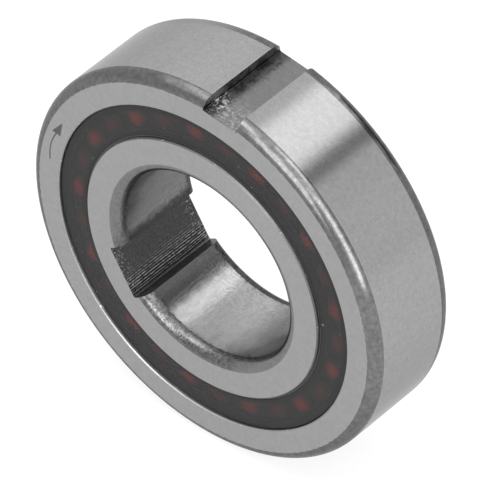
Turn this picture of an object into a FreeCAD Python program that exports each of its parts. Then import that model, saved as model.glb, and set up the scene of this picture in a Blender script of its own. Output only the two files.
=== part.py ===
import FreeCAD, Part
import math
import os

# One-way clutch bearing: balls and sprags alternate in one cage between two
# keyed rings, closed by a plastic shield on each side.
# Millimetres. The axis runs along Y, the front face looks toward -Y, +Z is up.
# Clock angles are read from the front, clockwise from the top.

# Envelope
outer_diameter = 62.0
bore_diameter = 30.0
ring_width = 16.0

# Rounded corners of the rings
outer_corner_radius = 1.75
bore_corner_radius = 1.75
land_edge_chamfer = 0.2
seat_edge_chamfer = 0.15

# Keyways, with the depth measured on the middle line of the slot
outer_key_width = 6.0
outer_key_depth = 2.0
outer_key_angle = 6.8
inner_key_width = 8.0
inner_key_depth = 2.0
inner_key_angle = 237.4
key_root_radius = 0.25

# Tracks the sprags wedge on, with the shallow ball groove in their middle.
# The pitch circle lies midway between bore and outside, shifted inwards.
pitch_shift = 0.125
race_gap = 4.25
groove_depth = 0.395
groove_conformity = 1.04

# Balls and sprags alternate around the pitch circle
first_ball_angle = 22.4
ball_clearance = 0.02

# Sprag: two cam arcs whose centres are offset around the tilt axis
sprag_width = 3.0
sprag_clearance = 0.02
cam_rise = 0.1
cam_offset = 0.14
waist_depth = 0.3
waist_radius = 0.8
sprag_edge_radius = 0.15

# Cage, running clear of both tracks and both shields
cage_running_gap = 0.35
cage_side_gap = 0.35
cage_side_wall = 1.05
cage_thinnest_web = 0.45
cage_edge_chamfer = 0.3
pocket_clearance = 0.1
window_end_gap = 0.15
window_tilt_gap = 0.2
window_spring_gap = 0.12

# Comb spring: a flat ring in the rear side of the cage with one finger per sprag
spring_thickness = 0.2
spring_band_inner = 0.3
spring_band_outer = 1.5
spring_finger_inner = 0.5
spring_finger_outer = 1.3
spring_finger_past_middle = 1.5
spring_bow = 0.12
spring_seat_gap = 0.03
spring_touch_gap = 0.02

# Shields: seated in the outer ring, running clear of the inner ring
shield_recess = 0.4
shield_thickness = 0.8
shield_seat_step = 0.85
shield_snap_depth = 0.5
shield_bead_inset = 0.3
shield_bead_width = 0.6
shield_seat_gap = 0.04
shield_running_gap = 0.15
shield_lip_depth = 0.25
shield_lip_width = 0.7
shield_edge_chamfer = 0.15

# Sizes that follow from the values above
half_width = ring_width / 2.0
outer_radius = outer_diameter / 2.0
bore_radius = bore_diameter / 2.0
pitch_radius = (outer_radius + bore_radius) / 2.0 - pitch_shift
inner_track_radius = pitch_radius - race_gap / 2.0
outer_track_radius = pitch_radius + race_gap / 2.0
ball_radius = race_gap / 2.0 + groove_depth - ball_clearance
groove_radius = ball_radius * groove_conformity

shield_front = half_width - shield_recess
shield_back = shield_front - shield_thickness
shield_lip_back = shield_back - shield_lip_depth
bead_front = shield_front - shield_bead_inset
bead_back = bead_front - shield_bead_width
seat_radius = outer_track_radius + shield_seat_step
snap_radius = seat_radius + shield_snap_depth

cage_half_width = shield_lip_back - cage_side_gap
cage_inner_radius = inner_track_radius + cage_running_gap
cage_outer_radius = outer_track_radius - cage_running_gap
pocket_radius = ball_radius + pocket_clearance
window_half_length = cage_half_width - cage_side_wall
sprag_half_length = window_half_length - window_end_gap
finger_near = sprag_width / 2.0 + spring_touch_gap
finger_far = finger_near + spring_bow + spring_thickness
window_near = sprag_width / 2.0 + window_tilt_gap
window_far = finger_far + window_spring_gap

# As many pairs as the bore of the cage holds with this web beside each pocket
pair_room = 2.0 * pocket_radius + window_near + window_far + 2.0 * cage_thinnest_web
pair_count = int(2.0 * math.pi * cage_inner_radius / pair_room)
pitch_angle = 360.0 / pair_count
first_sprag_angle = first_ball_angle + pitch_angle / 2.0

ORIGIN = FreeCAD.Vector(0, 0, 0)
AXIS = FreeCAD.Vector(0, 1, 0)
UP = FreeCAD.Vector(0, 0, 1)
SAME_PLACE = 0.001


def unit(dx, dy):
    length = math.hypot(dx, dy)
    return dx / length, dy / length


def corner_points(before, corner, after, size):
    """Where a round of this radius leaves both sides of a corner, and its middle."""
    ax, ay = unit(before[0] - corner[0], before[1] - corner[1])
    bx, by = unit(after[0] - corner[0], after[1] - corner[1])
    half = math.acos(ax * bx + ay * by) / 2.0
    run = size / math.tan(half)
    mx, my = unit(ax + bx, ay + by)
    reach = size / math.sin(half) - size
    start = (corner[0] + ax * run, corner[1] + ay * run)
    end = (corner[0] + bx * run, corner[1] + by * run)
    middle = (corner[0] + mx * reach, corner[1] + my * reach)
    return start, middle, end


def sharp(radius, y):
    return radius, y, 0, line


def chamfered(radius, y, size):
    return radius, y, size, line


def rounded(radius, y, size):
    return radius, y, size, arc


def turned(corners):
    """Ring turned from a closed profile of sharp, chamfered and rounded corners."""
    edges = []
    ends = []
    count = len(corners)
    for index in range(count):
        before = corners[index - 1]
        corner = corners[index]
        after = corners[(index + 1) % count]
        size, form = corner[2], corner[3]
        if size == 0:
            ends.append((corner[:2], corner[:2]))
            continue
        start, middle, end = corner_points(before, corner, after, size)
        if form is arc:
            edges.append(arc(start, middle, end))
        else:
            edges.append(line(start, end))
        ends.append((start, end))
    for index in range(count):
        edges.append(line(ends[index - 1][1], ends[index][0]))
    wire = Part.Wire(Part.__sortEdges__(edges))
    return Part.Face(wire).revolve(ORIGIN, AXIS, 360)


def point(pair):
    return FreeCAD.Vector(pair[0], pair[1], 0)


def line(start, end):
    return Part.LineSegment(point(start), point(end)).toShape()


def arc(start, middle, end):
    return Part.Arc(point(start), point(middle), point(end)).toShape()


def clocked(shape, angle):
    """Copy of a shape made at the top, moved round to this clock angle."""
    copy = shape.copy()
    copy.rotate(ORIGIN, AXIS, angle)
    return copy


def block(x0, x1, y0, y1, z0, z1):
    corner = FreeCAD.Vector(x0, y0, z0)
    return Part.makeBox(x1 - x0, y1 - y0, z1 - z0, corner)


def rod_along_y(radius, x, z, y0, y1):
    return Part.makeCylinder(radius, y1 - y0, FreeCAD.Vector(x, y0, z), AXIS)


def groove(centre_radius):
    return Part.makeTorus(centre_radius, groove_radius, ORIGIN, AXIS)


def ball_angle(index):
    return first_ball_angle + index * pitch_angle


def sprag_angle(index):
    return first_sprag_angle + index * pitch_angle


def save(shape, name):
    shape.exportStep("parts/" + name + ".step")


def key_slot(width, floor, top, angle):
    """Cutter for a keyway with rounded roots: flat floor between two radii."""
    low = min(floor, top)
    high = max(floor, top)
    slot = block(-width / 2.0, width / 2.0, -ring_width, ring_width, low, high)
    roots = []
    for edge in slot.Edges:
        box = edge.BoundBox
        if box.YLength > ring_width and abs(box.ZMin - floor) < SAME_PLACE:
            roots.append(edge)
    return clocked(slot.makeFillet(key_root_radius, roots), angle)


def shield_seat_corners(side):
    """Inner wall of the outer ring at one side: mouth, snap groove, shoulder."""
    groove_front = side * (bead_front + shield_seat_gap)
    groove_back = side * (bead_back - shield_seat_gap)
    return [
        chamfered(seat_radius, side * half_width, seat_edge_chamfer),
        sharp(seat_radius, groove_front),
        sharp(snap_radius, groove_front),
        sharp(snap_radius, groove_back),
        chamfered(outer_track_radius, groove_back, seat_edge_chamfer),
    ]


def make_outer_ring():
    front = shield_seat_corners(-1)
    rear = list(reversed(shield_seat_corners(1)))
    rim = [
        rounded(outer_radius, half_width, outer_corner_radius),
        rounded(outer_radius, -half_width, outer_corner_radius),
    ]
    ring = turned(front + rear + rim)
    groove_bottom = pitch_radius + ball_radius + ball_clearance
    ring = ring.cut(groove(groove_bottom - groove_radius))
    floor = outer_radius - outer_key_depth
    top = outer_radius + outer_key_depth
    return ring.cut(key_slot(outer_key_width, floor, top, outer_key_angle))


def make_inner_ring():
    ring = turned([
        rounded(bore_radius, -half_width, bore_corner_radius),
        rounded(bore_radius, half_width, bore_corner_radius),
        chamfered(inner_track_radius, half_width, land_edge_chamfer),
        chamfered(inner_track_radius, -half_width, land_edge_chamfer),
    ])
    groove_bottom = pitch_radius - ball_radius - ball_clearance
    ring = ring.cut(groove(groove_bottom + groove_radius))
    floor = bore_radius + inner_key_depth
    top = bore_radius - inner_key_depth
    return ring.cut(key_slot(inner_key_width, floor, top, inner_key_angle))


def make_shield(side):
    """Plate with a snap bead at its rim and a thickened lip at its bore."""
    rim = seat_radius - shield_seat_gap
    bead = snap_radius - shield_seat_gap
    plate_rim = outer_track_radius + shield_seat_gap
    lip = inner_track_radius + shield_running_gap
    lip_end = lip + shield_lip_width
    return turned([
        chamfered(lip, side * shield_front, shield_edge_chamfer),
        chamfered(rim, side * shield_front, shield_edge_chamfer),
        sharp(rim, side * bead_front),
        chamfered(bead, side * bead_front, shield_edge_chamfer),
        chamfered(bead, side * bead_back, shield_edge_chamfer),
        sharp(plate_rim, side * bead_back),
        sharp(plate_rim, side * shield_back),
        sharp(lip_end, side * shield_back),
        sharp(lip_end, side * shield_lip_back),
        chamfered(lip, side * shield_lip_back, shield_edge_chamfer),
    ])


def make_sprag():
    """Sprag at the top, set against both tracks with its named clearance."""
    half = sprag_half_length
    low_z = pitch_radius - cam_rise
    high_z = pitch_radius + cam_rise
    low_cam = math.hypot(cam_offset, low_z) - inner_track_radius - sprag_clearance
    high_cam = outer_track_radius - sprag_clearance - math.hypot(cam_offset, high_z)
    edge = sprag_width / 2.0
    lower = rod_along_y(low_cam, -cam_offset, low_z, -half, half).common(
        block(-edge, edge, -half, half, pitch_radius - race_gap, pitch_radius))
    upper = rod_along_y(high_cam, cam_offset, high_z, -half, half).common(
        block(-edge, edge, -half, half, pitch_radius, pitch_radius + race_gap))
    body = lower.fuse(upper).removeSplitter()
    for side in (-1, 1):
        centre = side * (edge - waist_depth + waist_radius)
        body = body.cut(rod_along_y(waist_radius, centre, pitch_radius, -half, half))
    return body.makeFillet(sprag_edge_radius, flank_edges(body))


def flank_edges(sprag):
    """The four long edges where a cam arc meets a flank, outside the waist."""
    waist_reach = math.sqrt(waist_radius ** 2 - (waist_radius - waist_depth) ** 2)
    found = []
    for edge in sprag.Edges:
        middle = edge.CenterOfMass
        along = edge.BoundBox.YLength > sprag_half_length
        outside = abs(middle.z - pitch_radius) > waist_reach + SAME_PLACE
        if along and outside:
            found.append(edge)
    return found


def make_finger():
    """Leaf bowed towards the sprag: it touches the flank half way along."""
    tip = -spring_finger_past_middle
    middle = (tip + cage_half_width) / 2.0
    inner = arc(
        (finger_near + spring_bow, cage_half_width),
        (finger_near, middle),
        (finger_near + spring_bow, tip))
    outer = arc(
        (finger_far, cage_half_width),
        (finger_far - spring_bow, middle),
        (finger_far, tip))
    root = line((finger_near + spring_bow, cage_half_width), (finger_far, cage_half_width))
    end = line((finger_near + spring_bow, tip), (finger_far, tip))
    face = Part.Face(Part.Wire([inner, end, outer, root]))
    low = pitch_radius + spring_finger_inner
    high = pitch_radius + spring_finger_outer
    face.translate(FreeCAD.Vector(0, 0, low))
    return face.extrude(FreeCAD.Vector(0, 0, high - low))


def make_comb_spring():
    """Flat ring in the rear of the cage, with a finger along each sprag's flank."""
    rear = cage_half_width
    front = rear - spring_thickness
    band_inner = pitch_radius + spring_band_inner
    band_outer = pitch_radius + spring_band_outer
    spring = turned([
        sharp(band_inner, front),
        sharp(band_outer, front),
        sharp(band_outer, rear),
        sharp(band_inner, rear),
    ])
    finger = make_finger()
    fingers = [clocked(finger, sprag_angle(index)) for index in range(pair_count)]
    return spring.multiFuse(fingers).removeSplitter()


def spring_seat():
    """Cutter for the recess that the comb spring's ring lies in."""
    floor = cage_half_width - spring_thickness - spring_seat_gap
    inner = pitch_radius + spring_band_inner - spring_seat_gap
    outer = pitch_radius + spring_band_outer + spring_seat_gap
    return turned([
        sharp(inner, floor),
        sharp(outer, floor),
        sharp(outer, ring_width),
        sharp(inner, ring_width),
    ])


def make_cage():
    ring = turned([
        chamfered(cage_inner_radius, -cage_half_width, cage_edge_chamfer),
        chamfered(cage_outer_radius, -cage_half_width, cage_edge_chamfer),
        chamfered(cage_outer_radius, cage_half_width, cage_edge_chamfer),
        chamfered(cage_inner_radius, cage_half_width, cage_edge_chamfer),
    ])
    low = inner_track_radius
    high = outer_track_radius
    foot = FreeCAD.Vector(0, 0, low)
    pocket = Part.makeCylinder(pocket_radius, high - low, foot, UP)
    end = window_half_length
    window = block(-window_near, window_far, -end, end, low, high)
    slot = block(
        finger_near - spring_seat_gap, window_far, 0, cage_half_width,
        pitch_radius + spring_finger_inner - spring_seat_gap,
        pitch_radius + spring_finger_outer + spring_seat_gap)
    cutters = [spring_seat()]
    for index in range(pair_count):
        cutters.append(clocked(pocket, ball_angle(index)))
        cutters.append(clocked(window, sprag_angle(index)))
        cutters.append(clocked(slot, sprag_angle(index)))
    return ring.cut(cutters)


def make_ball(angle):
    centre = FreeCAD.Vector(0, 0, pitch_radius)
    return clocked(Part.makeSphere(ball_radius, centre), angle)


def main():
    os.makedirs("parts", exist_ok=True)
    save(make_outer_ring(), "outer_ring")
    save(make_inner_ring(), "inner_ring")
    save(make_shield(-1), "front_shield")
    save(make_shield(1), "rear_shield")
    save(make_cage(), "cage")
    save(make_comb_spring(), "comb_spring")
    sprag = make_sprag()
    for index in range(pair_count):
        number = "%02d" % (index + 1)
        save(make_ball(ball_angle(index)), "ball_" + number)
        save(clocked(sprag, sprag_angle(index)), "sprag_" + number)


main()
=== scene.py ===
import math

import bmesh
import bpy
from mathutils import Matrix, Vector


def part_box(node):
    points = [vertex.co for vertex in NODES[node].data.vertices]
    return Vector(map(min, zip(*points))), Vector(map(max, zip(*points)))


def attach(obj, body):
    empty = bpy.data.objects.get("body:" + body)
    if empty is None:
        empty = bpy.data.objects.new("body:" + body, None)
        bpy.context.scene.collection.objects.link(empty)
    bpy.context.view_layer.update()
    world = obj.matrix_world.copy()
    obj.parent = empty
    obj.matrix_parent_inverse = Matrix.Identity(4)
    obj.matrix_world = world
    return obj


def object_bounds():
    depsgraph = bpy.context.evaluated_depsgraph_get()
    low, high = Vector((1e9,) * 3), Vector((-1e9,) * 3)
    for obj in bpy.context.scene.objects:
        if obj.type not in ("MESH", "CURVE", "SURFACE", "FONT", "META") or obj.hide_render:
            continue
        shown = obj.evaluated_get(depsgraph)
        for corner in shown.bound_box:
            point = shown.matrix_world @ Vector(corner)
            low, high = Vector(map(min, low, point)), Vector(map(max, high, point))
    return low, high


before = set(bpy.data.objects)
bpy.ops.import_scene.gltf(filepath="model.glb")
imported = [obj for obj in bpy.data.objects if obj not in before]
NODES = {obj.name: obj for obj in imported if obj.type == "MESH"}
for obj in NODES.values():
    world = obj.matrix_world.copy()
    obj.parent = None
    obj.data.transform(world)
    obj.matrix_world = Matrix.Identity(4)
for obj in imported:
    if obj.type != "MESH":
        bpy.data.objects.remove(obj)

cad_low, cad_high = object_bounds()
MM = 0.001

# Sizes read from the frame, in metres
OUTER_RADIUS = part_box("outer_ring")[1].x
HALF_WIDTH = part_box("outer_ring")[1].y
CAGE_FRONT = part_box("cage")[0].y
SHIELD_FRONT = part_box("front_shield")[0].y
PAIR_COUNT = sum(name.startswith("ball_") for name in NODES)

# Sizes for the materials, in millimetres; clock angles run clockwise from the top
BORE_RADIUS_MM = 15.0
LAND_EDGE_MM = 20.75
SEAT_EDGE_MM = 25.85
CORNER_START_MM = 6.25
REAR_CORNER_START_MM = 5.93
OUTER_KEY = {"width": 6.0, "floor": 29.0, "angle": math.radians(6.8)}
INNER_KEY = {"width": 8.0, "floor": 17.0, "angle": math.radians(237.4)}

# Camera of the photograph
IMAGE_SIDE = 480.0
SENSOR_WIDTH = 36.0
FOCAL_PIXELS = 7582.2
CAMERA_AZIMUTH = math.radians(40.502)
CAMERA_ELEVATION = math.radians(42.283)
CAMERA_DISTANCE = 1.0373
CAMERA_CLIP = (0.01, 20.0)
PRINCIPAL_X = 238.984
PRINCIPAL_Y = 239.541


def clock_point(radius, angle, y):
    """Point at a clock angle, clockwise from the top as seen from the front."""
    return Vector((radius * math.sin(angle), y, radius * math.cos(angle)))


class Shader:
    """One material, with short names for the nodes that build it."""

    def __init__(self, name):
        self.material = bpy.data.materials.new(name)
        self.material.use_nodes = True
        self.tree = self.material.node_tree
        self.surface = self.tree.nodes["Principled BSDF"]

    def node(self, kind, **settings):
        made = self.tree.nodes.new(kind)
        for name, value in settings.items():
            setattr(made, name, value)
        return made

    def feed(self, socket, value):
        if isinstance(value, bpy.types.NodeSocket):
            self.tree.links.new(value, socket)
        else:
            socket.default_value = value

    def math(self, operation, *values):
        made = self.node("ShaderNodeMath", operation=operation)
        for socket, value in zip(made.inputs, values):
            self.feed(socket, value)
        return made.outputs[0]

    def times(self, *values):
        result = values[0]
        for value in values[1:]:
            result = self.math("MULTIPLY", result, value)
        return result

    def plus(self, *values):
        result = values[0]
        for value in values[1:]:
            result = self.math("ADD", result, value)
        return result

    def size(self, value):
        return self.math("ABSOLUTE", value)

    def either(self, *masks):
        """1 where any of the masks is 1."""
        result = masks[0]
        for mask in masks[1:]:
            result = self.math("MAXIMUM", result, mask)
        return result

    def without(self, value, mask):
        """The value where the mask is 0, and 0 where it is 1."""
        return self.times(value, self.math("SUBTRACT", 1.0, mask))

    def step(self, value, absent, full):
        """0 at absent, 1 at full, smooth between them."""
        made = self.node("ShaderNodeMapRange", interpolation_type="SMOOTHSTEP")
        self.feed(made.inputs["Value"], value)
        self.feed(made.inputs["From Min"], absent)
        self.feed(made.inputs["From Max"], full)
        return made.outputs["Result"]

    def past(self, value, edge, absent, full):
        """A step whose ends are measured from an edge."""
        return self.step(value, edge + absent, edge + full)

    def between(self, value, start, full, fading, end):
        """0 up to start, 1 from full to fading, 0 from end on."""
        return self.times(self.step(value, start, full), self.step(value, end, fading))

    def near(self, value, centre, reach):
        """1 at the centre, 0 from the reach on."""
        return self.step(self.size(self.math("SUBTRACT", value, centre)), reach, 0.0)

    def swing(self, noise, amount):
        """A noise moved to run about 0, times the amount."""
        return self.times(self.plus(noise, -0.5), amount)

    def scaled(self, value, mask, gain):
        """The value, times the gain where the mask is 1."""
        return self.times(value, self.blend(mask, 1.0, gain))

    def blend(self, share, a, b):
        """a where share is 0, b where it is 1."""
        made = self.node("ShaderNodeMix", data_type="FLOAT")
        for index, value in zip((0, 2, 3), (share, a, b)):
            self.feed(made.inputs[index], value)
        return made.outputs[0]

    def tint(self, share, a, b):
        """Colour a where share is 0, colour b where it is 1."""
        made = self.node("ShaderNodeMix", data_type="RGBA")
        for index, value in zip((0, 6, 7), (share, a, b)):
            self.feed(made.inputs[index], value)
        return made.outputs[2]

    def vector(self, x, y, z):
        made = self.node("ShaderNodeCombineXYZ")
        for socket, value in zip(made.inputs, (x, y, z)):
            self.feed(socket, value)
        return made.outputs[0]

    def noise(self, vector, scale, detail=2.0, rough=0.5, warp=0.0):
        made = self.node("ShaderNodeTexNoise")
        self.feed(made.inputs["Vector"], vector)
        self.feed(made.inputs["Scale"], scale)
        self.feed(made.inputs["Detail"], detail)
        self.feed(made.inputs["Roughness"], rough)
        self.feed(made.inputs["Distortion"], warp)
        return made.outputs["Fac"]

    def bump(self, height, depth_mm):
        made = self.node("ShaderNodeBump")
        self.feed(made.inputs["Height"], height)
        self.feed(made.inputs["Distance"], depth_mm * MM)
        self.feed(made.inputs["Strength"], 1.0)
        self.tree.links.new(made.outputs["Normal"], self.surface.inputs["Normal"])

    def set(self, **values):
        for name, value in values.items():
            self.feed(self.surface.inputs[name.replace("_", " ")], value)

    def place(self):
        """Position in millimetres: x, y, z, the distance from the axis, and all three."""
        coordinates = self.node("ShaderNodeTexCoord")
        scaled = self.node("ShaderNodeVectorMath", operation="SCALE")
        self.feed(scaled.inputs[0], coordinates.outputs["Object"])
        self.feed(scaled.inputs["Scale"], 1 / MM)
        split = self.node("ShaderNodeSeparateXYZ")
        self.feed(split.inputs[0], scaled.outputs[0])
        x, y, z = split.outputs
        square = self.plus(self.times(x, x), self.times(z, z))
        return x, y, z, self.math("SQRT", square), scaled.outputs[0]


def around(s, x, z, radius, along, stretch):
    """Vector for marks that run round the axis: fine along, slow around."""
    sine = s.math("DIVIDE", x, radius)
    cosine = s.math("DIVIDE", z, radius)
    return s.vector(s.times(sine, stretch), along, s.times(cosine, stretch))


# Places of marks are in millimetres, here and below: two values are where a mark is absent
# and where it is full, four are where it starts, is full, begins to fade and ends.
# These three are measured from a keyway's walls and its floor.
KEY_EDGE = (0.03, 0.01)
KEY_WALL = (0.1, 0.03)
KEY_ROOT = (0.2, 0.4)


def key_axes(s, x, z, key):
    """Distances across a keyway and outward from the axis through its middle."""
    sine = math.sin(key["angle"])
    cosine = math.cos(key["angle"])
    across = s.math("SUBTRACT", s.times(x, cosine), s.times(z, sine))
    outward = s.plus(s.times(x, sine), s.times(z, cosine))
    return across, outward


def slot_mask(s, across, outward, key, low, high):
    """1 on the walls and the floor of a keyway."""
    absent, full = KEY_EDGE
    inside = s.past(s.size(across), key["width"] / 2, absent, full)
    above = s.past(outward, low, -absent, -full)
    below = s.past(outward, high, absent, full)
    return s.times(inside, above, below)


def low_wall(s, across, key):
    """1 on the wall at the low side of a keyway."""
    return s.past(across, -key["width"] / 2, *KEY_WALL)


# Outer keyway: places across it and along it, and its grey tones from dark to bright
OUTER_SLOT = {
    "chipped_front": (0.0, -4.0),
    "flecked_front": (-1.5, -5.5),
    "burr": (2.4, 2.9),
    "shadow_soft_edge": (-0.6, -1.1),
    # Painted shadow of the low wall: its soft edge on the floor, the band, and painted shade in
    # the corner at the wall's foot
    "painted_shadow_band": (-1.15, -1.4),
    "shaded_wall_corner": (-2.65, -2.82),
}
MILLED_TONES = (0.115, 0.205)
CHIPPED_TONES = (0.1, 0.26)
# Tones of the painted shadow beside the low wall
SHADOW_BAND_TONES = (0.034, 0.085)
# Gains of the burr, the painted shadow's soft edge, the wall within the shadow and the painted
# shade in the corner
OUTER_SLOT_GAINS = {"burr": 0.55, "shadow_soft_edge": 0.62, "shadow_band_wall": 4.2, "shaded_wall_corner": 0.42}


def milled_floor(s, y, across, grain, chips, blobs):
    """Cutter marks, chipped near the front face, with a burr along the high side."""
    marks = s.vector(s.times(across, 0.5), s.times(y, 3.2), 0.0)
    cuts = s.noise(marks, scale=1.0, detail=3.0, rough=0.6)
    milled = s.plus(s.blend(grain, *MILLED_TONES), s.swing(cuts, 0.1))
    chipped = s.blend(s.step(chips, 0.3, 0.66), *CHIPPED_TONES)
    chipped = s.plus(chipped, s.times(blobs, 0.12))
    front = s.step(s.plus(y, s.times(chips, 3.0)), *OUTER_SLOT["chipped_front"])
    tone = s.blend(s.times(front, 0.75), milled, chipped)
    burr = s.times(s.step(across, *OUTER_SLOT["burr"]), s.step(grain, 0.35, 0.6))
    return s.scaled(tone, burr, OUTER_SLOT_GAINS["burr"])


def painted_shadow_band(s, y, across, outward, position, chips, blobs):
    """Mottled painted shadow beside the low wall, on the floor and paler on the wall, darkest as
    painted shade in the corner at the wall's foot, with bright flecks near the front.
    """
    patches = s.step(s.noise(position, scale=0.9, detail=4.0, rough=0.65), 0.36, 0.6)
    root, wall_foot = (OUTER_KEY["floor"] + height for height in KEY_ROOT)
    wall = s.times(low_wall(s, across, OUTER_KEY), s.step(outward, root, wall_foot))
    # Painted shade in the corner at the wall's foot
    corner = s.step(across, *OUTER_SLOT["shaded_wall_corner"])
    corner = s.times(s.step(outward, wall_foot, root), corner)
    tone = s.scaled(s.blend(patches, *SHADOW_BAND_TONES), wall, OUTER_SLOT_GAINS["shadow_band_wall"])
    tone = s.scaled(tone, corner, OUTER_SLOT_GAINS["shaded_wall_corner"])
    flecks = s.either(blobs, s.step(chips, 0.58, 0.66))
    flecks = s.times(s.step(y, *OUTER_SLOT["flecked_front"]), flecks)
    return s.plus(tone, s.times(flecks, s.blend(wall, 0.4, 0.3)))


def outer_slot_tone(s, y, across, outward, position):
    """Tone of the outer keyway, with the painted shadow beside its low wall, and the chips in it.
    """
    grain = s.noise(position, scale=4.0, detail=3.0, rough=0.7)
    chips = s.noise(position, scale=2.3, detail=4.0, rough=0.7, warp=0.3)
    blobs = s.noise(position, scale=1.25, detail=3.0, rough=0.6, warp=0.6)
    blobs = s.step(blobs, 0.54, 0.62)
    # Painted shadow of the low wall, with a ragged edge that first softly darkens the floor
    ragged = s.plus(across, s.swing(chips, 1.8))
    haze = s.times(s.step(ragged, *OUTER_SLOT["shadow_soft_edge"]), s.step(grain, 0.3, 0.6))
    floor = milled_floor(s, y, across, grain, chips, blobs)
    floor = s.scaled(floor, haze, OUTER_SLOT_GAINS["shadow_soft_edge"])
    band = painted_shadow_band(s, y, across, outward, position, chips, blobs)
    return s.blend(s.step(ragged, *OUTER_SLOT["painted_shadow_band"]), floor, band), chips


# Inner keyway: places across it and along it, and its grey tones from dark to bright
INNER_SLOT = {
    "lined": (-3.8, -3.5, -2.4, 0.2),
    "flecked_ends": (5.4, 7.6),
}
LINE_PITCH_MM = 0.36
BROACHED_TONES = (0.04, 0.09)
BROACHED_WALL_TONES = (0.0, 0.36)
LINED_GAIN = 0.55
LINE_TONE = 0.6
FLECK_TONE = 0.3


def broach_lines(s, y, across, lined):
    """Fine lines along the floor, and where they show bright."""
    wander = s.noise(s.vector(across, s.times(y, 0.1), 0.0), scale=0.8)
    turns = s.times(s.plus(across, s.times(wander, 0.5)), math.tau / LINE_PITCH_MM)
    line = s.step(s.math("SINE", turns), 0.62, 1.0)
    stretched = s.vector(s.times(across, 2.4), s.times(y, 1.4), 0.0)
    breaks = s.noise(stretched, scale=1.0, detail=3.0, rough=0.7)
    return line, s.times(line, lined, s.step(breaks, 0.34, 0.6))


def inner_slot_tone(s, y, across, position):
    """Tone of the inner keyway, dark with bright lines, and the lines themselves."""
    lined = s.between(across, *INNER_SLOT["lined"])
    line, bright = broach_lines(s, y, across, lined)
    grain = s.step(s.noise(position, scale=7.0, rough=0.7), 0.36, 0.66)
    floor = s.scaled(s.blend(grain, *BROACHED_TONES), lined, LINED_GAIN)
    patches = s.noise(position, scale=1.4, detail=4.0, rough=0.7)
    wall = s.blend(patches, *BROACHED_WALL_TONES)
    tone = s.blend(low_wall(s, across, INNER_KEY), floor, wall)
    flecks = s.step(s.noise(position, scale=3.4, rough=0.6), 0.56, 0.7)
    ends = s.step(s.size(y), *INNER_SLOT["flecked_ends"])
    flecks = s.times(flecks, s.blend(ends, 0.1, 1.0))
    return s.plus(tone, s.times(bright, LINE_TONE), s.times(flecks, FLECK_TONE)), line


# Bore: places across the keyway's direction and outward along it, from the axis, or along y. The
# brighter area is a painted highlight, the sides beside the keyway and the stretch at its high
# edge are painted shade, right and left are painted light at the front.
BORE = {
    "highlight_patch": (-6.7, -8.2),
    "highlight_patch_outward": (1.5, 7.5),
    "low_flank": (-8.0, -6.8, -1.0, 0.0),
    "high_flank": (0.0, 1.0, 4.2, 5.4),
    "key_side": (4.0, 6.0),
    "right": (8.5, 11.5),
    "left": (-8.0, -10.0),
    "left_outward": (5.5, 0.5),
    "keyway_edge_shade": (6.0, 4.5),
    "high_half": (0.0, 1.0),
    "front": (-1.0, -4.5),
    "rippled": (-2.0, 4.0),
}
# Tones of the bore: the dull one is painted shade over the whole bore, the other a painted
# highlight on its brighter area
BORE_SHADE_AND_HIGHLIGHT = (0.56, 1.12)
CHATTER_SHADES = (0.78, 1.22)
# Gains of the painted shade beside the keyway and of the painted light at the front
BORE_GAINS = {"shaded_flanks": 0.8, "right": 3.0, "left": 2.0, "keyway_edge_shade": 0.36}
RIPPLE_PITCH_MM = 0.7
RIPPLE_WANDER = 34.0
RIPPLE_SHARE = 0.18


def bore_shade(s, y, across, outward, position):
    """Honed bore, dull all over as painted shade, with one brighter area as a painted highlight,
    painted shade beside the keyway and painted light at its front on the right and the left.
    """
    cloud = s.noise(position, scale=0.7, detail=4.0, rough=0.6)
    moved = s.plus(across, s.swing(cloud, 1.4))
    frayed = s.noise(position, scale=1.3, detail=3.0, rough=0.6)
    frayed = s.plus(across, s.swing(frayed, 1.8))
    highlight_patch = s.step(outward, *BORE["highlight_patch_outward"])
    highlight_patch = s.times(s.step(moved, *BORE["highlight_patch"]), highlight_patch)
    key_side = s.step(outward, *BORE["key_side"])
    shaded_flanks = s.plus(s.between(moved, *BORE["low_flank"]), s.between(moved, *BORE["high_flank"]))
    front = s.step(y, *BORE["front"])
    # Painted light at the front of the bore, on the right and on the left
    right = s.times(s.step(moved, *BORE["right"]), front)
    left = s.times(s.step(outward, *BORE["left_outward"]), s.step(moved, *BORE["left"]), front)
    keyway_edge_shade = s.times(s.step(frayed, *BORE["keyway_edge_shade"]), s.step(across, *BORE["high_half"]), key_side)
    masks = {"shaded_flanks": s.times(shaded_flanks, key_side), "right": right, "left": left, "keyway_edge_shade": keyway_edge_shade}
    tone = s.blend(highlight_patch, *BORE_SHADE_AND_HIGHLIGHT)
    for name, mask in masks.items():
        tone = s.scaled(tone, mask, BORE_GAINS[name])
    return tone


def chatter(s, x, y, z, position):
    """Wavy tool marks along the bore, and ripples round it near the rear."""
    marks = s.vector(s.times(x, 2.0), s.times(y, 0.5), s.times(z, 2.0))
    along = s.noise(marks, scale=1.0, warp=0.6)
    wander = s.noise(position, scale=0.45, detail=3.0, rough=0.6)
    turns = s.plus(s.times(y, math.tau / RIPPLE_PITCH_MM), s.times(wander, RIPPLE_WANDER))
    waves = s.math("SINE", turns)
    return s.plus(along, s.times(waves, s.step(y, *BORE["rippled"]), RIPPLE_SHARE))


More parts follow.
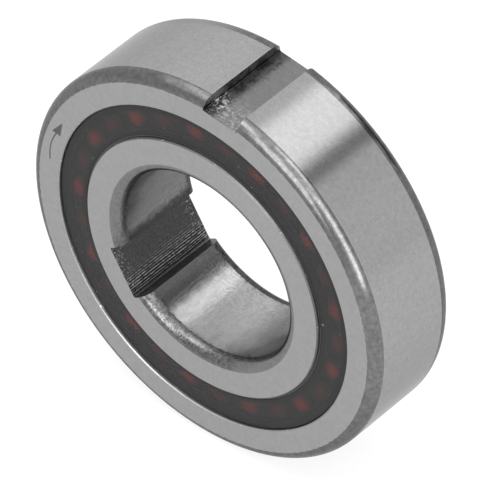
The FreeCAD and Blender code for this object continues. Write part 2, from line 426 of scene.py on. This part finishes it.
# Both rings: places of marks. Skins, mouth and run are measured from an edge or a radius,
# depths from the ring's middle.
FACE_SKIN = (-0.02, -0.006)
BORE_SKIN = (0.3, 0.2)
BORE_MOUTH = (0.5, 0.1)
LAND_SKIN = (-0.5, -0.4)
SEAT_SKIN = (0.5, 0.4)
CORNER_RUN = 0.04
PITTED_RADIUS = (1.5, 0.9)
PITTED_DEPTH = (5.6, 6.3)
NICKED_DEPTH = (7.5, 7.7)
NICK_REACH = 0.2
BEHIND_SHIELD_OUTSIDE = (5.9, 6.1, 6.9, 7.0)
BEHIND_SHIELD_INSIDE = (6.1, 6.3, 7.4, 7.5)

# Both rings: grey tones, and the gain where a wall is in shade
GROUND_TONE = 0.322
CORNER_TONE = 0.14
BRUISE_TONE = 0.8
BEHIND_SHIELD_GAIN = 0.1

# Both rings: how far the marks move the tone; two values are for the rim and for a face
GROUND_MOTTLE = (0.13, 0.08)
GROUND_GRAIN = (0.11, 0.05)
GROUND_STREAKS = 0.03
CORNER_MOTTLE = 0.2
CORNER_GRAIN = 0.08

# Both rings: roughness; two values are for the low and the high end of a pattern
CORNER_ROUGH = (0.17, 0.24)
GROUND_ROUGH = (0.2, 0.27)
BORE_ROUGH = (0.24, 0.34)
BROACHED_ROUGH = 0.38
ROUGH_WALL = 0.4

# Both rings: heights of the marks; two values are for a corner and for ground steel
OUTER_GRAIN_HEIGHTS = (0.4, 0.15)
INNER_GRAIN_HEIGHTS = (1.4, 0.15)
STREAK_HEIGHT = 0.25
CHIP_HEIGHT = 2.0
RIPPLE_HEIGHT = 2.5


def pits(s, depth, radius, position):
    """Small dark pits on the bore's corner and on the first of the bore behind it."""
    near_bore = s.past(radius, BORE_RADIUS_MM, *PITTED_RADIUS)
    place = s.times(near_bore, s.step(depth, *PITTED_DEPTH))
    spots = s.noise(position, scale=2.4, detail=4.0, rough=0.75)
    return s.times(place, s.step(spots, 0.52, 0.42))


def bruised(s, tone, radius, depth, edge, position):
    """The tone, with small bright bruises on the edge between a face and its shield."""
    close = s.times(s.near(radius, edge, NICK_REACH), s.step(depth, *NICKED_DEPTH))
    spots = s.noise(position, scale=0.9, detail=4.0, rough=0.7)
    return s.blend(s.times(close, s.step(spots, 0.6, 0.68)), tone, BRUISE_TONE)


def mark_height(s, streaks, grain, ground, grain_heights):
    """Height of the marks on a ring, apart from those of its keyway and its bore."""
    grain_height = s.blend(ground, *grain_heights)
    return s.plus(s.times(streaks, STREAK_HEIGHT), s.times(grain, grain_height))


def finish_ring(s, tone, rough, height):
    """Sets the steel's surface; fine marks round the axis stretch its reflections."""
    tangent = s.node("ShaderNodeTangent", direction_type="RADIAL", axis="Y")
    s.bump(height, depth_mm=0.008)
    s.set(Base_Color=tone, Metallic=1.0, Roughness=rough, Specular_Tint=(0.7, 0.7, 0.7, 1))
    s.set(Anisotropic=0.6, Anisotropic_Rotation=0.25, Tangent=tangent.outputs[0])
    return s.material


def ground_and_corner(s, ground, face, marks):
    """Tone and roughness of the ground faces and of the blackened corners."""
    streaks, mottle, grain = marks
    bright = s.plus(
        s.swing(mottle, s.blend(face, *GROUND_MOTTLE)),
        s.swing(grain, s.blend(face, *GROUND_GRAIN)),
        s.swing(streaks, GROUND_STREAKS),
        GROUND_TONE)
    dark = s.plus(s.swing(mottle, CORNER_MOTTLE), s.swing(grain, CORNER_GRAIN), CORNER_TONE)
    corner_rough = s.blend(streaks, *CORNER_ROUGH)
    ground_rough = s.blend(grain, *GROUND_ROUGH)
    return s.blend(ground, dark, bright), s.blend(ground, corner_rough, ground_rough)


def ring_marks(s, x, z, radius, depth, along, position):
    """Where the faces are; marks round the rim and faces, broad mottling, fine grain."""
    streaks = around(s, x, z, radius, s.times(along, 2.6), stretch=2.2)
    streaks = s.noise(streaks, scale=1.0, detail=4.0, rough=0.62)
    brushed = around(s, x, z, radius, s.times(radius, 0.12), stretch=60.0)
    brushed = s.noise(brushed, scale=1.0, rough=0.6)
    face = s.past(depth, HALF_WIDTH / MM, *FACE_SKIN)
    mottle = s.noise(position, scale=1.3, detail=5.0, rough=0.66)
    grain = s.noise(position, scale=4.5, rough=0.6)
    return face, (s.blend(face, streaks, brushed), mottle, grain)


# Outer ring's corners: one lighter stretch at the rear, and one stretch at the front lightened as
# a painted reflection
LIGHTER_REAR_STRETCH = {"x": (-1.0, -13.0), "y": (5.0, 6.0), "z": (10.0, 22.0)}
PAINTED_REFLECTION_STRETCH = {"x": (24.0, 28.5), "y": (-5.0, -6.0), "z": (-12.0, -2.0)}
REAR_HALF = (-1.0, 1.0)
LIGHTER_REAR_TONE = 0.3
PAINTED_REFLECTION_GAIN = 1.28
RIM_GAIN = 1.035


def stretch_mask(s, x, y, z, stretch):
    """1 where x, y and z are all past their steps."""
    return s.times(s.step(x, *stretch["x"]), s.step(z, *stretch["z"]), s.step(y, *stretch["y"]))


def outer_ring_steel():
    """Ground rim and faces, blackened turned corners, milled keyway."""
    s = Shader("outer_ring_steel")
    x, y, z, radius, position = s.place()
    depth = s.size(y)
    along = s.math("SUBTRACT", radius, depth)
    face, marks = ring_marks(s, x, z, radius, depth, along, position)
    streaks, _, grain = marks
    seat = s.past(radius, SEAT_EDGE_MM, *SEAT_SKIN)
    corner_start = s.blend(s.step(y, *REAR_HALF), CORNER_START_MM, REAR_CORNER_START_MM)
    rim = s.step(s.math("SUBTRACT", depth, corner_start), CORNER_RUN, 0.0)
    ground = s.either(face, seat, rim)
    tone, rough = ground_and_corner(s, ground, face, marks)
    tone = s.scaled(tone, rim, RIM_GAIN)
    # A lighter stretch of the rear corner
    tone = s.blend(stretch_mask(s, x, y, z, LIGHTER_REAR_STRETCH), tone, LIGHTER_REAR_TONE)
    # Painted reflection: the front corner lighter at the right
    tone = s.scaled(tone, s.without(stretch_mask(s, x, y, z, PAINTED_REFLECTION_STRETCH), ground), PAINTED_REFLECTION_GAIN)
    seat = s.without(seat, face)
    behind = s.times(seat, s.between(depth, *BEHIND_SHIELD_OUTSIDE))
    tone = s.scaled(tone, behind, BEHIND_SHIELD_GAIN)
    tone = bruised(s, tone, radius, depth, SEAT_EDGE_MM, position)
    across, outward = key_axes(s, x, z, OUTER_KEY)
    slot = slot_mask(s, across, outward, OUTER_KEY, OUTER_KEY["floor"], OUTER_RADIUS / MM + 1)
    slot_tone, chips = outer_slot_tone(s, y, across, outward, position)
    tone = s.blend(slot, tone, slot_tone)
    rough = s.blend(s.either(slot, seat), rough, ROUGH_WALL)
    height = mark_height(s, streaks, grain, ground, OUTER_GRAIN_HEIGHTS)
    return finish_ring(s, tone, rough, s.blend(slot, height, s.times(chips, CHIP_HEIGHT)))


# Inner ring's corners: paler at the left and the right as painted light, darker at the rear as
# painted shade
PALE_LEFT = (0.0, -1.0)
PALE_LEFT_OUTWARD = (4.5, 2.0)
PALE_RIGHT = (4.0, 7.0)
PALE_DEPTH = (6.6, 7.4)
PALE_TONE = 0.225
REAR_CORNER = (6.0, 6.4)
REAR_CORNER_GAIN = 0.6
LAND_WALL_GAIN = 0.4
PIT_GAIN = 0.5
PALE_SHARE = 0.55
PITS_WHERE_PALE = 0.35
SPECK_TONE = 0.07


def bore_corner_tone(s, tone, corner, y, radius, across, outward, position):
    """The tone with the corner's specks and pits, its pale stretches of painted light and its rear
    darkened as painted shade.
    """
    depth = s.size(y)
    specks = s.step(s.noise(position, scale=4.4, rough=0.6), 0.54, 0.68)
    tone = s.plus(tone, s.times(corner, specks, SPECK_TONE))
    # Painted light: pale stretches of the corner at the left and the right
    left = s.times(s.step(outward, *PALE_LEFT_OUTWARD), s.step(across, *PALE_LEFT))
    pale = s.either(left, s.step(across, *PALE_RIGHT))
    pale = s.times(pale, corner, s.step(depth, *PALE_DEPTH))
    tone = s.blend(s.times(pale, PALE_SHARE), tone, PALE_TONE)
    pitted = s.scaled(pits(s, depth, radius, position), pale, PITS_WHERE_PALE)
    tone = s.scaled(tone, pitted, PIT_GAIN)
    # Painted shade: the corner darker at the rear
    return s.scaled(tone, s.times(s.step(y, *REAR_CORNER), corner), REAR_CORNER_GAIN)


def inner_ring_steel():
    """Ground faces, honed bore with tool marks, grainy corners, broached keyway."""
    s = Shader("inner_ring_steel")
    x, y, z, radius, position = s.place()
    depth = s.size(y)
    face, marks = ring_marks(s, x, z, radius, depth, s.plus(radius, depth), position)
    streaks, _, grain = marks
    straight = s.past(depth, CORNER_START_MM, CORNER_RUN, 0.0)
    bore = s.times(straight, s.past(radius, BORE_RADIUS_MM, *BORE_SKIN))
    wall = s.without(s.past(radius, LAND_EDGE_MM, *LAND_SKIN), face)
    ground = s.either(face, bore, wall)
    corner = s.without(1.0, ground)
    tone, rough = ground_and_corner(s, ground, face, marks)
    across, outward = key_axes(s, x, z, INNER_KEY)
    ripple = chatter(s, x, y, z, position)
    shade = bore_shade(s, y, across, outward, position)
    # Painted shade and light of the bore, with its tool marks
    tone = s.scaled(tone, bore, s.times(shade, s.blend(ripple, *CHATTER_SHADES)))
    tone = bore_corner_tone(s, tone, corner, y, radius, across, outward, position)
    behind = s.times(wall, s.between(depth, *BEHIND_SHIELD_INSIDE))
    tone = s.scaled(s.scaled(tone, wall, LAND_WALL_GAIN), behind, BEHIND_SHIELD_GAIN)
    tone = bruised(s, tone, radius, depth, LAND_EDGE_MM, position)
    slot = slot_mask(s, across, outward, INNER_KEY, BORE_RADIUS_MM / 2, INNER_KEY["floor"])
    slot_tone, line = inner_slot_tone(s, y, across, position)
    tone = s.blend(slot, tone, slot_tone)
    rough = s.blend(bore, rough, s.blend(grain, *BORE_ROUGH))
    rough = s.blend(slot, rough, BROACHED_ROUGH)
    mouth = s.times(s.past(radius, BORE_RADIUS_MM, *BORE_MOUTH), corner)
    rough = s.blend(s.either(wall, mouth), rough, ROUGH_WALL)
    height = mark_height(s, streaks, grain, ground, INNER_GRAIN_HEIGHTS)
    height = s.plus(height, s.times(ripple, bore, RIPPLE_HEIGHT))
    return finish_ring(s, tone, rough, s.blend(slot, height, line))


# Plastic and grease: edges are radii in millimetres; pairs of colours, tones and roughness
# run from the low to the high end of a pattern
SHIELD_BAND = (21.2, 22.0, 24.6, 25.2)
SHIELD_EDGE_COLOURS = ((0.006, 0.0057, 0.0058, 1), (0.009, 0.0086, 0.0087, 1))
SHIELD_BAND_COLOURS = ((0.018, 0.0174, 0.0175, 1), (0.022, 0.0213, 0.0214, 1))
SHIELD_BAND_ALPHA = 0.76
DUST_COLOUR = (0.4, 0.4, 0.4, 1)
SMOOTH_ROUGH = (0.3, 0.34)
MATT_ROUGH = (0.6, 0.7)
LIP_TONES = (0.048, 0.06)
CAGE_COLOURS = ((0.024, 0.014, 0.012, 1), (0.034, 0.017, 0.014, 1))
CAGE_EDGE_COLOUR = (0.007, 0.006, 0.006, 1)
CAGE_OUTER_EDGE = (24.2, 24.4)
CAGE_INNER_EDGE = (21.55, 21.35)
# The bright end of these colours is a painted glint of a ball or sprag
GREASE_AND_GLINT_COLOURS = ((0.03, 0.016, 0.014, 1), (0.92, 0.062, 0.03, 1))


def shield_plastic():
    """Smoky moulded plate that lets some light through its middle band."""
    s = Shader("shield_plastic")
    *_, radius, position = s.place()
    cloud = s.noise(position, scale=0.35, detail=3.0, rough=0.55)
    skin = s.noise(position, scale=0.9)
    band = s.between(radius, *SHIELD_BAND)
    dust = s.step(s.noise(position, scale=2.4, detail=1.0), 0.79, 0.83)
    colour = s.tint(band, s.tint(cloud, *SHIELD_EDGE_COLOURS), s.tint(cloud, *SHIELD_BAND_COLOURS))
    s.bump(skin, depth_mm=0.001)
    s.set(Base_Color=s.tint(dust, colour, DUST_COLOUR), Roughness=s.blend(skin, *SMOOTH_ROUGH))
    leaving = s.node("ShaderNodeNewGeometry").outputs["Backfacing"]
    alpha = s.without(s.blend(band, 1.0, SHIELD_BAND_ALPHA), leaving)
    s.set(IOR=1.5, Specular_IOR_Level=0.2, Alpha=alpha)
    return s.material


def lip_plastic():
    """Inner edge of a shield, a little paler than the plate."""
    s = Shader("lip_plastic")
    *_, position = s.place()
    skin = s.noise(position, scale=0.9)
    s.bump(skin, depth_mm=0.001)
    s.set(Base_Color=s.blend(skin, *LIP_TONES), Roughness=s.blend(skin, *SMOOTH_ROUGH))
    return s.material


def cage_plastic():
    """Moulded cage, darker along its inner and outer edges."""
    s = Shader("cage_plastic")
    *_, radius, position = s.place()
    cloud = s.noise(position, scale=0.5, detail=4.0, rough=0.6)
    grain = s.noise(position, scale=2.5)
    edges = s.plus(s.step(radius, *CAGE_OUTER_EDGE), s.step(radius, *CAGE_INNER_EDGE))
    colour = s.tint(edges, s.tint(cloud, *CAGE_COLOURS), CAGE_EDGE_COLOUR)
    s.bump(grain, depth_mm=0.002)
    s.set(Base_Color=colour, Roughness=s.blend(cloud, *MATT_ROUGH), Specular_IOR_Level=0.2)
    return s.material


def grease_with_painted_glint():
    """Grease lit through the shield, with a painted glint of the ball or sprag behind it: bright
    in the middle, gone at its rim.
    """
    s = Shader("grease_with_painted_glint")
    glint_share = s.node("ShaderNodeAttribute", attribute_name="glint_share").outputs["Fac"]
    *_, position = s.place()
    cloud = s.noise(position, scale=1.4)
    share = s.times(glint_share, s.blend(cloud, 0.7, 1.3))
    s.bump(cloud, depth_mm=0.005)
    s.set(Base_Color=s.tint(share, *GREASE_AND_GLINT_COLOURS), Roughness=s.blend(cloud, *MATT_ROUGH))
    s.set(Specular_IOR_Level=0.2)
    return s.material


def hardened_steel(name, tone, rough, scale):
    """Lapped steel of the balls, sprags and spring."""
    s = Shader(name)
    x, y, z, _, position = s.place()
    cloud = s.noise(position, scale, detail=3.0, rough=0.55)
    stretched = s.vector(s.times(x, 0.4), s.times(y, 4.0), z)
    scratch = s.noise(stretched, scale=2.0, detail=3.0, rough=0.6)
    s.bump(scratch, depth_mm=0.002)
    s.set(
        Base_Color=s.blend(cloud, tone * 0.88, tone * 1.12),
        Metallic=1.0,
        Roughness=s.blend(scratch, rough * 0.7, rough * 1.3))
    return s.material


def etched_mark():
    """Dark matt etching of the direction arrow."""
    s = Shader("etched_mark")
    *_, position = s.place()
    cloud = s.noise(position, scale=5.0, detail=3.0, rough=0.65)
    s.bump(cloud, depth_mm=0.01)
    s.set(Base_Color=s.blend(cloud, 0.012, 0.06), Roughness=0.6)
    return s.material


def dress(node, material):
    """Gives a node of the frame its material."""
    if not NODES[node].material_slots:
        NODES[node].data.materials.append(material)
    for slot in NODES[node].material_slots:
        slot.link = "OBJECT"
        slot.material = material


def dress_all():
    dress("outer_ring", outer_ring_steel())
    dress("inner_ring", inner_ring_steel())
    plastic = shield_plastic()
    dress("front_shield", plastic)
    dress("rear_shield", plastic)
    dress("cage", cage_plastic())
    dress("comb_spring", hardened_steel("spring_steel", tone=0.38, rough=0.3, scale=0.8))
    ball_material = hardened_steel("ball_steel", tone=0.62, rough=0.1, scale=0.6)
    sprag_material = hardened_steel("sprag_steel", tone=0.5, rough=0.24, scale=0.9)
    for name in sorted(NODES):
        if name.startswith("ball_"):
            dress(name, ball_material)
        if name.startswith("sprag_"):
            dress(name, sprag_material)


def new_object(name, mesh, material):
    made = bpy.data.objects.new(name, mesh)
    bpy.context.scene.collection.objects.link(made)
    mesh.materials.append(material)
    return made


def new_piece(name, work, material):
    """Object made of the finished faces, all facing outward."""
    mesh = bpy.data.meshes.new(name)
    bmesh.ops.recalc_face_normals(work, faces=work.faces[:])
    work.to_mesh(mesh)
    work.free()
    return new_object(name, mesh, material)


# Direction arrow etched on the front face of the outer ring: x and z in millimetres
ARROW_START = Vector((-27.34, 4.45))
ARROW_BEND = Vector((-27.55, 7.4))
ARROW_NECK = Vector((-26.06, 9.86))
ARROW_HEAD = (Vector((-26.84, 9.93)), Vector((-24.89, 12.31)), Vector((-25.35, 9.62)))
ARROW_LINE = 0.2
ARROW_THICKNESS = 0.004 * MM
ARROW_STEPS = 16


def arrow_outline():
    """Closed outline: one side of the curved line, the head, the other side."""
    left = []
    right = []
    for i in range(ARROW_STEPS + 1):
        t = i / ARROW_STEPS
        middle = ARROW_START * (1 - t) ** 2 + ARROW_BEND * 2 * t * (1 - t) + ARROW_NECK * t * t
        run = (ARROW_BEND - ARROW_START) * (1 - t) + (ARROW_NECK - ARROW_BEND) * t
        side = Vector((-run.y, run.x)).normalized() * ARROW_LINE / 2
        left.append(middle + side)
        right.append(middle - side)
    return left + list(ARROW_HEAD) + right[::-1]


def make_arrow():
    work = bmesh.new()
    outline = arrow_outline()
    corners = [work.verts.new((p.x * MM, -HALF_WIDTH, p.y * MM)) for p in outline]
    face = work.faces.new(corners)
    bmesh.ops.triangulate(work, faces=[face])
    raised = bmesh.ops.extrude_face_region(work, geom=work.faces[:])
    moved = [v for v in raised["geom"] if isinstance(v, bmesh.types.BMVert)]
    bmesh.ops.translate(work, verts=moved, vec=(0, -ARROW_THICKNESS, 0))
    arrow = new_piece("direction_arrow", work, etched_mark())
    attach(arrow, "outer")


# Thin lip on the inner edge of each shield, just clear of the inner ring's land
LIP_INNER = (LAND_EDGE_MM + 0.03) * MM
LIP_OUTER = (LAND_EDGE_MM + 0.2) * MM
LIP_SUNK = 0.03 * MM
LIP_DEPTH = 0.37 * MM
LIP_BEVEL = 0.04 * MM
LIP_SIDES = 256


def lip_section():
    """Points of the section: distance from the axis and from the ring's middle."""
    face = -SHIELD_FRONT - LIP_SUNK
    back = face - LIP_DEPTH
    middle = (LIP_INNER + LIP_OUTER) / 2
    return (
        (LIP_INNER, back), (LIP_INNER, face - LIP_BEVEL), (middle, face),
        (LIP_OUTER, face), (LIP_OUTER, back))


def make_lip(name, side, material):
    """Ring of small section that closes the view between a shield and the land."""
    work = bmesh.new()
    section = lip_section()
    rows = []
    for i in range(LIP_SIDES):
        turn = math.tau * i / LIP_SIDES
        rows.append([work.verts.new(clock_point(r, turn, side * y)) for r, y in section])
    for i in range(LIP_SIDES):
        near, far = rows[i], rows[(i + 1) % LIP_SIDES]
        for j in range(len(section)):
            after = (j + 1) % len(section)
            work.faces.new((near[j], near[after], far[after], far[j]))
    piece = new_piece(name, work, material)
    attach(piece, "outer")


def make_lips():
    material = lip_plastic()
    make_lip("front_shield_lip", -1, material)
    make_lip("rear_shield_lip", 1, material)


# Grease between the cage and the front shield, beside each ball and each sprag, each carrying a
# painted glint of its ball or sprag
SHIELD_THICKNESS = 0.8 * MM
GREASE_RADIUS = 23.2 * MM
GREASE_CLEARANCE = 0.03 * MM
GREASE_HEIGHT = CAGE_FRONT - SHIELD_FRONT - SHIELD_THICKNESS - GREASE_CLEARANCE
GREASE_RINGS = 12
GREASE_SIDES = 32
GREASE_FLATNESS = 6
# Each dome's painted glint: strong for a ball, faint for a sprag
BALL_GLINT_GREASE = {"width": 3.4 * MM, "length": 4.4 * MM, "glint_share": 0.8}
SPRAG_GLINT_GREASE = {"width": 3.3 * MM, "length": 4.6 * MM, "glint_share": 0.25}

# Waves in a dome's outline: amount, number round the dome, shift with its clock angle
WOBBLES = ((0.06, 3, 5), (0.04, 5, -9))


def grease_point(angle, kind, share, turn):
    """Point of a dome, at a share of its size and a turn about its middle."""
    wobble = 1
    for amount, waves, shift in WOBBLES:
        wobble += amount * math.sin(waves * turn + shift * angle)
    across = kind["width"] * share * wobble * math.cos(turn) / 2
    along = kind["length"] * share * wobble * math.sin(turn) / 2
    return (
        clock_point(GREASE_RADIUS, angle, CAGE_FRONT)
        + clock_point(across, angle, 0)
        + clock_point(along, angle + math.pi / 2, 0)
        + Vector((0, -GREASE_HEIGHT * (1 - share ** GREASE_FLATNESS), 0)))


def make_grease(name, angle, kind, material):
    """Low dome on the cage's front side, with a painted glint brightest in its middle."""
    work = bmesh.new()
    glint_share = work.verts.layers.float.new("glint_share")

    def add(share, turn):
        vert = work.verts.new(grease_point(angle, kind, share, turn))
        vert[glint_share] = kind["glint_share"] * (1 - share * share) ** 2
        return vert

    top = add(0, 0)
    shares = [(ring + 1) / GREASE_RINGS for ring in range(GREASE_RINGS)]
    turns = [math.tau * i / GREASE_SIDES for i in range(GREASE_SIDES)]
    rows = [[add(share, turn) for turn in turns] for share in shares]
    sides = [(i, (i + 1) % GREASE_SIDES) for i in range(GREASE_SIDES)]
    for i, after in sides:
        work.faces.new((top, rows[0][i], rows[0][after]))
    for row, wider in zip(rows, rows[1:]):
        for i, after in sides:
            work.faces.new((row[i], wider[i], wider[after], row[after]))
    work.faces.new(rows[-1][::-1])
    for face in work.faces:
        face.smooth = True
    piece = new_piece(name, work, material)
    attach(piece, "cage_set")


def clock_of(node):
    """Clock angle of the middle of a node's box."""
    low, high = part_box(node)
    middle = (low + high) / 2
    return math.atan2(middle.x, middle.z)


def make_all_grease():
    material = grease_with_painted_glint()
    for index in range(1, PAIR_COUNT + 1):
        number = "%02d" % index
        make_grease("ball_grease_glint_" + number, clock_of("ball_" + number), BALL_GLINT_GREASE, material)
        make_grease("sprag_grease_glint_" + number, clock_of("sprag_" + number), SPRAG_GLINT_GREASE, material)


# Soft boxes and dark cards between them. A place is two ranges of angles: turn about the
# bearing's axis from straight up, and lean along the axis, positive behind the object.
STUDIO_DISTANCE = 1.0
CARD_DISTANCE = 0.9
SOFT_BOXES = {
    "back_box": {"turn": (-1.5, 26), "lean": (16, 60), "radiance": 1.15},
    "upper_box": {"turn": (13, 36), "lean": (-6, 15), "radiance": 3.2},
    "right_box": {"turn": (42, 90), "lean": (-32, -4), "radiance": 3.8},
    "right_spread": {"turn": (32, 130), "lean": (-52, 10), "radiance": 0.6},
    "left_box": {"turn": (-28, -2), "lean": (-38, -6), "radiance": 3.6},
    "left_spread": {"turn": (-54, -14), "lean": (-38, 22), "radiance": 0.8},
    "left_haze": {"turn": (-92, -40), "lean": (12, 56), "radiance": 0.13},
    "left_edge": {"turn": (-40, -16), "lean": (-20, 20), "radiance": 0.9},
    "middle_fill": {"turn": (-12, 46), "lean": (-50, 16), "radiance": 1.0},
    "link_box": {"turn": (-6, 20), "lean": (-54, -38), "radiance": 1.5},
    "front_box": {"turn": (-17, 45), "lean": (-78, -50), "radiance": 3.7},
    "face_box": {"turn": (-30, 90), "lean": (-90, -76), "radiance": 3.0},
}
DARK_CARDS = {
    "back_card": {"turn": (28.5, 37), "lean": (14, 48)},
    "rear_card": {"turn": (5, 62), "lean": (46, 72)},
}


def place_panel(panel, spot, distance):
    """Puts a panel where its spot says, facing the object, and gives its size."""
    turn = math.radians(sum(spot["turn"]) / 2)
    lean = math.radians(sum(spot["lean"]) / 2)
    outward = clock_point(math.cos(lean), turn, math.sin(lean))
    along = clock_point(-math.sin(lean), turn, math.cos(lean))
    across = Vector((math.cos(turn), 0, -math.sin(turn)))
    panel.matrix_world = Matrix((across, along, outward)).transposed().to_4x4()
    panel.location = outward * distance
    half_turn = math.radians(spot["turn"][1] - spot["turn"][0]) / 2
    half_lean = math.radians(spot["lean"][1] - spot["lean"][0]) / 2
    width = 2 * distance * math.tan(half_turn) * math.cos(lean)
    return width, 2 * distance * math.tan(half_lean)


def make_soft_box(name, spot):
    data = bpy.data.lights.new(name, "AREA")
    lamp = bpy.data.objects.new(name, data)
    bpy.context.scene.collection.objects.link(lamp)
    width, height = place_panel(lamp, spot, STUDIO_DISTANCE)
    data.shape = "RECTANGLE"
    data.size = width
    data.size_y = height
    data.energy = spot["radiance"] * math.pi * width * height
    lamp.visible_camera = False


def fill_grid(mesh, width, height, cells):
    """Makes a mesh a flat grid about its middle, of so many cells each way."""
    work = bmesh.new()
    bmesh.ops.create_grid(work, x_segments=cells, y_segments=cells, size=1 / 2)
    bmesh.ops.scale(work, verts=work.verts[:], vec=(width, height, 1))
    work.to_mesh(mesh)
    work.free()


def make_card(name, spot, material):
    """Black card that only shows in reflections."""
    mesh = bpy.data.meshes.new(name)
    card = new_object(name, mesh, material)
    width, height = place_panel(card, spot, CARD_DISTANCE)
    fill_grid(mesh, width, height, 1)
    card.visible_camera = False
    card.visible_diffuse = False
    card.visible_shadow = False


def card_black():
    s = Shader("card_black")
    s.set(Base_Color=(0.02, 0.02, 0.02, 1), Roughness=0.9)
    return s.material


# Floor and world: white to the camera and to mirrors, a plain level as light
FLOOR_SIZE = 8.0
FLOOR_CELLS = 8
FLOOR_TONES = (0.94, 0.95)
FLOOR_SEEN = 0.8
DIFFUSE_LEVEL = 0.5
SEEN_RAYS = ("Is Camera Ray", "Is Glossy Ray", "Is Transmission Ray")


def floor_white():
    """White that keeps the object's shadow and looks white in the metal."""
    s = Shader("floor")
    *_, position = s.place()
    cloud = s.noise(position, scale=0.02)
    s.set(Base_Color=s.blend(cloud, *FLOOR_TONES), Roughness=0.9)
    path = s.node("ShaderNodeLightPath")
    seen = s.either(*(path.outputs[name] for name in SEEN_RAYS))
    white = s.node("ShaderNodeEmission")
    mix = s.node("ShaderNodeMixShader")
    s.feed(mix.inputs[0], s.times(seen, FLOOR_SEEN))
    s.feed(mix.inputs[1], s.surface.outputs[0])
    s.feed(mix.inputs[2], white.outputs[0])
    s.feed(s.tree.nodes["Material Output"].inputs["Surface"], mix.outputs[0])
    return s.material


def make_floor():
    mesh = bpy.data.meshes.new("floor")
    fill_grid(mesh, FLOOR_SIZE, FLOOR_SIZE, FLOOR_CELLS)
    floor = new_object("floor", mesh, floor_white())
    floor.location.z = cad_low.z


def make_world():
    """Even light all round, white where the camera or a mirror sees it."""
    world = bpy.data.worlds.new("studio")
    bpy.context.scene.world = world
    world.use_nodes = True
    tree = world.node_tree
    tree.nodes.clear()
    path = tree.nodes.new("ShaderNodeLightPath")
    seen = path.outputs[SEEN_RAYS[0]]
    for name in SEEN_RAYS[1:]:
        either = tree.nodes.new("ShaderNodeMath")
        either.operation = "MAXIMUM"
        tree.links.new(seen, either.inputs[0])
        tree.links.new(path.outputs[name], either.inputs[1])
        seen = either.outputs[0]
    level = tree.nodes.new("ShaderNodeMapRange")
    level.inputs["To Min"].default_value = DIFFUSE_LEVEL
    tree.links.new(seen, level.inputs["Value"])
    white = tree.nodes.new("ShaderNodeBackground")
    white.inputs["Color"].default_value = (1, 1, 1, 1)
    tree.links.new(level.outputs["Result"], white.inputs["Strength"])
    out = tree.nodes.new("ShaderNodeOutputWorld")
    tree.links.new(white.outputs[0], out.inputs["Surface"])


def make_studio():
    make_floor()
    make_world()
    for name, spot in SOFT_BOXES.items():
        make_soft_box(name, spot)
    black = card_black()
    for name, spot in DARK_CARDS.items():
        make_card(name, spot, black)


def make_camera():
    data = bpy.data.cameras.new("camera")
    data.sensor_fit = "HORIZONTAL"
    data.sensor_width = SENSOR_WIDTH
    data.lens = FOCAL_PIXELS * SENSOR_WIDTH / IMAGE_SIDE
    data.shift_x = (IMAGE_SIDE / 2 - PRINCIPAL_X) / IMAGE_SIDE
    data.shift_y = (PRINCIPAL_Y - IMAGE_SIDE / 2) / IMAGE_SIDE
    data.clip_start, data.clip_end = CAMERA_CLIP
    camera = bpy.data.objects.new("camera", data)
    bpy.context.scene.collection.objects.link(camera)
    level = math.cos(CAMERA_ELEVATION) * CAMERA_DISTANCE
    camera.location = (
        math.sin(CAMERA_AZIMUTH) * level,
        -math.cos(CAMERA_AZIMUTH) * level,
        math.sin(CAMERA_ELEVATION) * CAMERA_DISTANCE)
    camera.rotation_euler = (math.pi / 2 - CAMERA_ELEVATION, 0, CAMERA_AZIMUTH)
    bpy.context.scene.camera = camera


def main():
    dress_all()
    make_arrow()
    make_lips()
    make_all_grease()
    make_studio()
    make_camera()
    bpy.context.scene.view_settings.view_transform = "Standard"


main()
